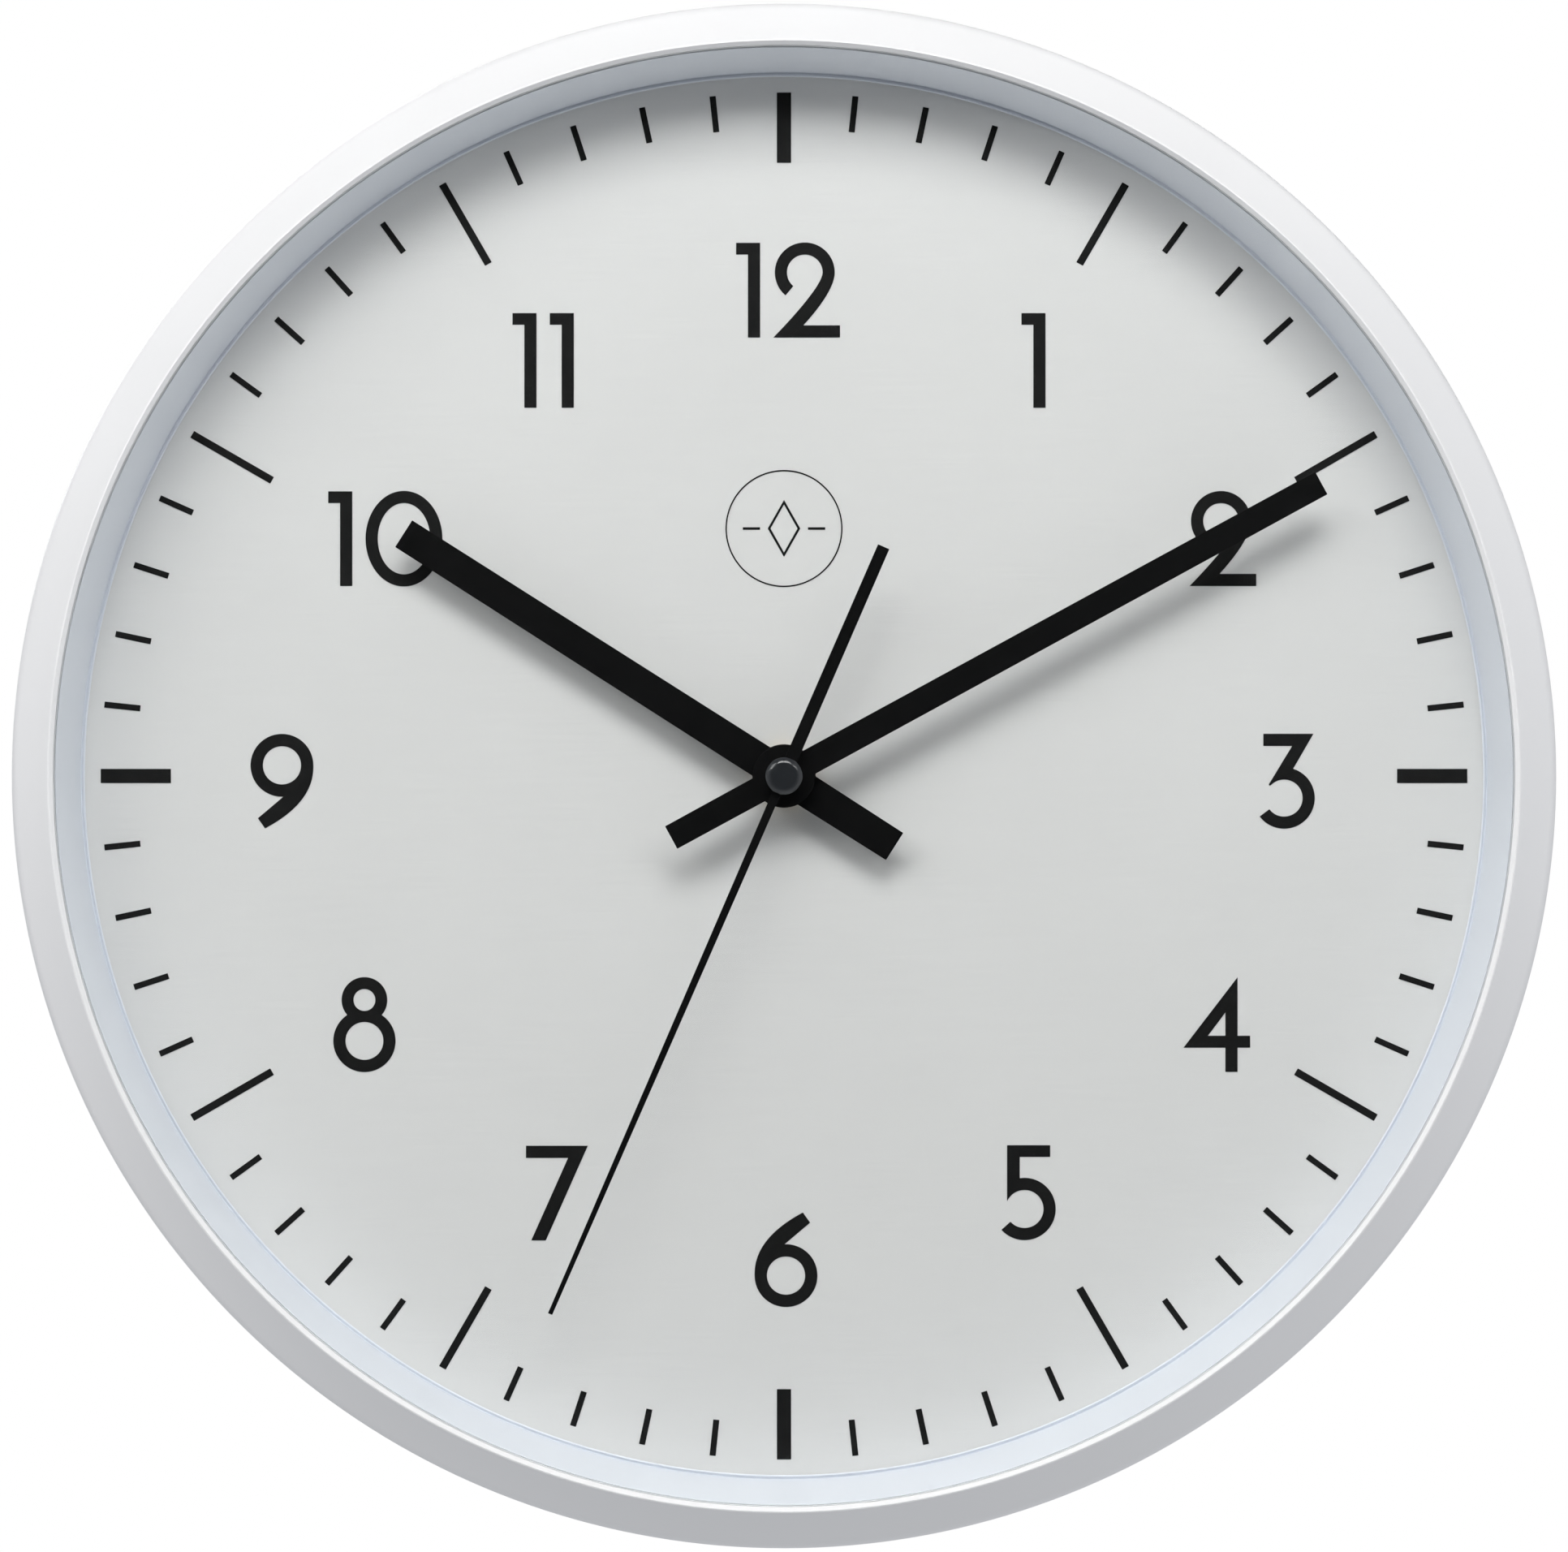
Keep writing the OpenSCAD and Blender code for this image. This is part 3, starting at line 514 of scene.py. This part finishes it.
case_low, case_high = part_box("case_ring")
CASE_R = case_high[0] / MM
DEPTH = -case_low[1] / MM
lens_low, lens_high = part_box("glass_lens")
LENS_R = lens_high[0] / MM
LENS_REAR = -lens_high[1] / MM
LENS_FRONT = -lens_low[1] / MM
FACE = -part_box("dial_sheet")[0][1] / MM
PLATE_REAR = -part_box("dial_plate")[1][1] / MM

FLANK_WIDTH = 8.6
FLANK_HEIGHT = 9.0
CREST_WIDTH = 0.8
WALL_TOP_WIDTH = 0.9
SIDE_THICKNESS = 3
SHELF_WIDTH = 4.6
SHELF_THICKNESS = 3
CREST_R = CASE_R - FLANK_WIDTH
REBATE_R = CREST_R - CREST_WIDTH
INNER_R = REBATE_R - WALL_TOP_WIDTH


# ---------- case ----------

def case_shell():
    """Ring with an upright side, a sloping flank, a narrow crest, a shelf for the dial
    plate and six bosses for the cover's screws."""
    bend = DEPTH - FLANK_HEIGHT
    shelf = INNER_R - SHELF_WIDTH
    shelf_low = PLATE_REAR - SHELF_THICKNESS
    wall = CASE_R - SIDE_THICKNESS
    outer_foot = [(CASE_R - 0.5, 0), (CASE_R - 0.15, 0.15), (CASE_R, 0.5)]
    inner_foot = [(wall, 0.4), (wall + 0.15, 0.12), (wall + 0.4, 0)]
    profile = [Vector(p) for p in outer_foot]
    profile += curve((CASE_R, bend - 2.2), (CASE_R, bend), (CASE_R - 1.8, bend + 1.88))
    profile += curve((CREST_R + 0.45, DEPTH - 0.4), (CREST_R + 0.2, DEPTH),
                     (CREST_R - 0.1, DEPTH))
    profile += curve((REBATE_R + 0.06, DEPTH - 0.82), (REBATE_R, DEPTH - 0.9),
                     (REBATE_R, DEPTH - 1), 4)
    profile += fillet([(REBATE_R, LENS_REAR - 1, 0), (REBATE_R, PLATE_REAR, 0),
                       (shelf, PLATE_REAR, 0.2), (shelf, shelf_low, 0.3),
                       (INNER_R + 2.2, shelf_low, 0.4), (INNER_R + 2.2, bend - 2, 0.6),
                       (wall, bend - 3, 0.6)], 3)
    profile += [Vector(p) for p in inner_foot]
    bm = bmesh.new()
    lathe_into(bm, profile, LARGE_TURN)
    screws, first_angle = 6, 30
    boss_at, boss_r, bore_r, boss_low = CASE_R - 6.5, 4.0, 1.3, 3.4
    boss_high = PLATE_REAR - 2.6
    boss = fillet([(bore_r, boss_low, 0.1), (boss_r, boss_low, 0.2), (boss_r, boss_high, 0),
                   (bore_r, boss_high, 0)], 2)
    for i in range(screws):
        a = math.radians(first_angle + 360 // screws * i)
        lathe_into(bm, boss, BOSS_TURN, (boss_at * math.cos(a), boss_at * math.sin(a)))
    return to_object("case_shell", bm)


stands_for("case_ring", case_shell())


def lens():
    """Flat glass with softened edges; it reaches a little into the case's rebate."""
    r, round_r = LENS_R + 0.07, 0.12
    points = [(0, LENS_REAR, 0), (r, LENS_REAR, round_r), (r, LENS_FRONT, round_r),
              (0, LENS_FRONT, 0)]
    return lathe("lens", fillet(points, 3), LENS_TURN)


stands_for("glass_lens", lens())


def inner_wall():
    """Sloping wall from the glass down to the dial. At its foot lie a shallow groove and a
    lip, undercut so that a dark line shows around the dial."""
    top = LENS_REAR
    points = [(LENS_R, top - 1.2, 0), (LENS_R, top - 0.01, 0),
              (LENS_R - 0.12, top - 0.01, 0.05), (INNER_R - 1.6, FACE + 1.5, 0.08),
              (INNER_R - 1.62, FACE + 0.5, 0.05), (INNER_R - 1.8, FACE + 0.45, 0.05),
              (INNER_R - 2.25, FACE + 1.0, 0.08), (INNER_R - 2.5, FACE + 0.9, 0.06),
              (INNER_R - 2.5, FACE + 0.75, 0.03), (INNER_R - 2.22, FACE + 0.5, 0),
              (INNER_R - 2.22, FACE + 0.01, 0), (INNER_R - 0.9, FACE + 0.01, 0)]
    return lathe("inner_wall", fillet(points, 3), LARGE_TURN)


stands_for("spacer_ring", inner_wall())


# ---------- hands ----------

for hand, edge_width in (("hour_hand", 0.09), ("minute_hand", 0.09), ("second_hand", 0.07)):
    stands_for(hand, refined(hand + "_blade", hand, edge_width, 3))


def button():
    """Cap with a nearly flat crown, a rounded shoulder and a blind bore."""
    low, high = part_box("second_hand_cap")
    r = (high[0] - low[0]) / 2 / MM
    rear, top = -high[1] / MM, -low[1] / MM
    bore_r, bore_depth = 1.05, 0.9
    points = [(bore_r, rear, 0), (r - 0.15, rear, 0.12), (r, rear + 0.2, 0.1),
              (r, top - 0.78, 0.25), (r * 0.78, top - 0.17, 1.6), (0, top, 0),
              (0, rear + bore_depth, 0), (bore_r, rear + bore_depth, 0)]
    return lathe("cap_button", fillet(points, 8), SMALL_TURN)


stands_for("second_hand_cap", button())


# ---------- back ----------

for node, piece, edge_width, segments in (
        ("rear_cover", "cover_shell", 0.25, 3), ("cover_screws", "screw_heads", 0.12, 3),
        ("movement_rear_case", "movement_shell", 0.15, 2),
        ("movement_front_plate", "movement_lid", 0.15, 2)):
    stands_for(node, refined(piece, node, edge_width, segments))


def grip():
    """Setting knob: fluted rim, rounded shoulder and a dished face with a raised centre."""
    low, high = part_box("setting_knob")
    x, z = (low[0] + high[0]) / 2, (low[2] + high[2]) / 2
    r = (high[0] - low[0]) / 2
    back, front = high[1], low[1]
    flutes, flute_depth = 24, 0.00022
    rim_front = back - 0.0018
    hub_r, bore_r = 0.002, 0.00091
    # radius, place along the axis, share of the flutes' depth
    outline = [(0, back - 0.0002, 0), (0.0009, back - 0.0002, 0), (0.0012, back - 0.0006, 0),
               (0.0027, back - 0.0006, 0), (0.0031, back - 0.0001, 0), (r * 0.80, back, 0),
               (r * 0.90, back - 0.0001, 0.3), (r * 0.97, back - 0.0004, 0.8),
               (r, back - 0.0008, 1), (r, back - 0.0016, 1), (r * 0.96, rim_front, 0.5),
               (hub_r, rim_front, 0), (hub_r, front, 0), (bore_r, front, 0),
               (bore_r, back - 0.0007, 0), (0, back - 0.0007, 0)]

    def place(point, angle):
        q, y, share = point
        dip = flute_depth * (0.5 - 0.5 * math.cos(flutes * angle)) ** 2
        return (x + (q - dip * share) * math.cos(angle), y,
                z + (q - dip * share) * math.sin(angle))
    bm = bmesh.new()
    turn(bm, outline, KNOB_TURN, place)
    return to_object("knob_grip", bm)


stands_for("setting_knob", grip())


def cell():
    """AA cell: crimped sleeve, shoulder and contact nub, turned about its own axis."""
    low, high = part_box("aa_battery")
    y, z = (low[1] + high[1]) / 2, (low[2] + high[2]) / 2
    r = (high[2] - low[2]) / 2
    sleeve_r = r - 0.00006
    flat, nub = low[0], high[0]
    outline = [(0, flat + 0.0001), (0.0034, flat + 0.0001), (0.0038, flat), (0.0055, flat),
               (0.0059, flat + 0.0002), (r - 0.0006, flat + 0.0003),
               (r - 0.0002, flat + 0.0005), (r, flat + 0.0009), (r, flat + 0.0016),
               (sleeve_r, flat + 0.0019), (sleeve_r, nub - 0.0036), (r, nub - 0.0032),
               (r, nub - 0.0021), (r - 0.0002, nub - 0.0017), (r - 0.0007, nub - 0.00145),
               (0.0046, nub - 0.00135), (0.0041, nub - 0.0015), (0.0032, nub - 0.0015),
               (0.0027, nub - 0.0012), (0.0027, nub - 0.00025), (0.0024, nub), (0, nub)]

    def place(point, angle):
        q, x = point
        return (x, y + q * math.cos(angle), z + q * math.sin(angle))
    bm = bmesh.new()
    turn(bm, outline, SMALL_TURN, place)
    return to_object("dry_cell", bm)


stands_for("aa_battery", cell())


# ---------- stage ----------

def floor():
    """Pale floor well below the clock; far out it fades into the white background."""
    drop, fade_start, fade_end = 0.55, 0.5, 2.2
    bpy.ops.mesh.primitive_circle_add(vertices=96, radius=14, fill_type="NGON",
                                      location=(0, 0, -drop))
    obj = bpy.context.object
    obj.name = "floor"
    material, tree, position = start("floor")
    reach = add(tree, "VectorMath", {0: position}, operation="LENGTH").outputs["Value"]
    tooth = noise(tree, position, 0.004, 2.0)
    pale = add(tree, "BsdfDiffuse", {"Color": blend_colors(
        tree, tooth, (0.80, 0.80, 0.805, 1), (0.84, 0.84, 0.845, 1))})
    white = add(tree, "Emission", {"Color": (1, 1, 1, 1), "Strength": 1.0})
    far = add(tree, "MapRange", {"Value": reach, "From Min": fade_start, "From Max": fade_end},
              interpolation_type="SMOOTHSTEP").outputs["Result"]
    mixed = add(tree, "MixShader", {0: far, 1: pale.outputs[0], 2: white.outputs[0]})
    close(tree, mixed.outputs[0])
    obj.data.materials.append(material)
    obj.visible_diffuse = False
    obj.visible_glossy = False


floor()


# ---------- light ----------

def softbox(name, at, size, power):
    """A rectangular light that faces the clock and isn't seen itself."""
    data = bpy.data.lights.new(name, "AREA")
    data.shape = "RECTANGLE"
    data.size, data.size_y = size
    data.energy = power
    obj = bpy.data.objects.new(name, data)
    bpy.context.scene.collection.objects.link(obj)
    obj.location = at
    obj.rotation_mode = "QUATERNION"
    obj.rotation_quaternion = Vector(at).to_track_quat("Z", "Y")
    obj.visible_camera = False


# name, place, width and height in metres, watts
LIGHTS = [
    ("far_top", (0, -1.53, 1.29), (1.2, 0.7), 8.7),
    ("far_left", (-1.2, -1.2, 1.05), (1.0, 0.8), 9.3),
    ("far_right", (1.2, -1.2, 1.05), (1.0, 0.8), 1.4),
    ("side_left", (-1.0, -1.55, 0.8), (0.8, 0.4), 4.0),
    ("side_right", (1.0, -1.55, 0.8), (0.8, 0.4), 3.8),
    ("near_top", (0, -0.80, 0.67), (0.6, 0.4), 4.5),
    ("back_key", (-0.7, 1.3, 0.6), (0.6, 0.6), 9.0),
]
for name, at, size, power in LIGHTS:
    softbox(name, at, size, power)

# direction and strength of each broad glow around the clock
SURROUND = [
    ((-1, 0, 0), 0.83),
    ((1, 0, 0), 1.19),
    ((0, 0, -1), 1.26),
    ((0, 1, 0), 0.4),
]


def studio_world():
    """White to the eye; as light, soft glows from the sides, below and behind."""
    world = bpy.data.worlds.new("studio")
    bpy.context.scene.world = world
    world.use_nodes = True
    tree = world.node_tree
    tree.nodes.clear()
    ray = add(tree, "TexCoord").outputs["Generated"]
    total = 0.0
    for direction, strength in SURROUND:
        facing = add(tree, "VectorMath", {0: ray, 1: direction},
                     operation="DOT_PRODUCT").outputs["Value"]
        glow = calc(tree, "POWER", calc(tree, "MAXIMUM", facing, 0.0), 3.0)
        total = calc(tree, "MULTIPLY_ADD", glow, strength, total)
    surround = add(tree, "Background", {"Color": (0.965, 0.985, 1.025, 1), "Strength": total})
    white = add(tree, "Background", {"Color": (1, 1, 1, 1), "Strength": 1.0})
    eye = add(tree, "LightPath").outputs["Is Camera Ray"]
    mixed = add(tree, "MixShader", {0: eye, 1: surround.outputs[0], 2: white.outputs[0]})
    add(tree, "OutputWorld", {"Surface": mixed.outputs[0]})


studio_world()
